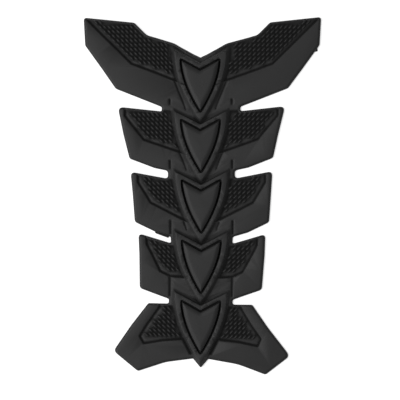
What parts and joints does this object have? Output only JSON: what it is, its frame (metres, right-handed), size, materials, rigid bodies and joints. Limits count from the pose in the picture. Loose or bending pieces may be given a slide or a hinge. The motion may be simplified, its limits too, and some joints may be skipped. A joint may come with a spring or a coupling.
{
  "type": "motorcycle tank pad",
  "caption": "Spine-shaped rubber pad that sticks to a motorcycle fuel tank: raised arrowhead shields down the middle, flat wings at both sides with sunk fields of small slanted bumps.",
  "frame": {"origin": "middle of the flat back, at the centre of the pad's length and width", "axes": "+X across the pad to the right wings, +Y along the spine to the widest wings, +Z out of the moulded face"},
  "size_m": [0.1362, 0.2038, 0.0045],
  "materials": {
    "rubber": "matte moulded rubber, near black, with a fine grain and a faint grey bloom"
  },
  "bodies": {
    "root": {"tank_pad": "rubber"}
  },
  "joints": []
}
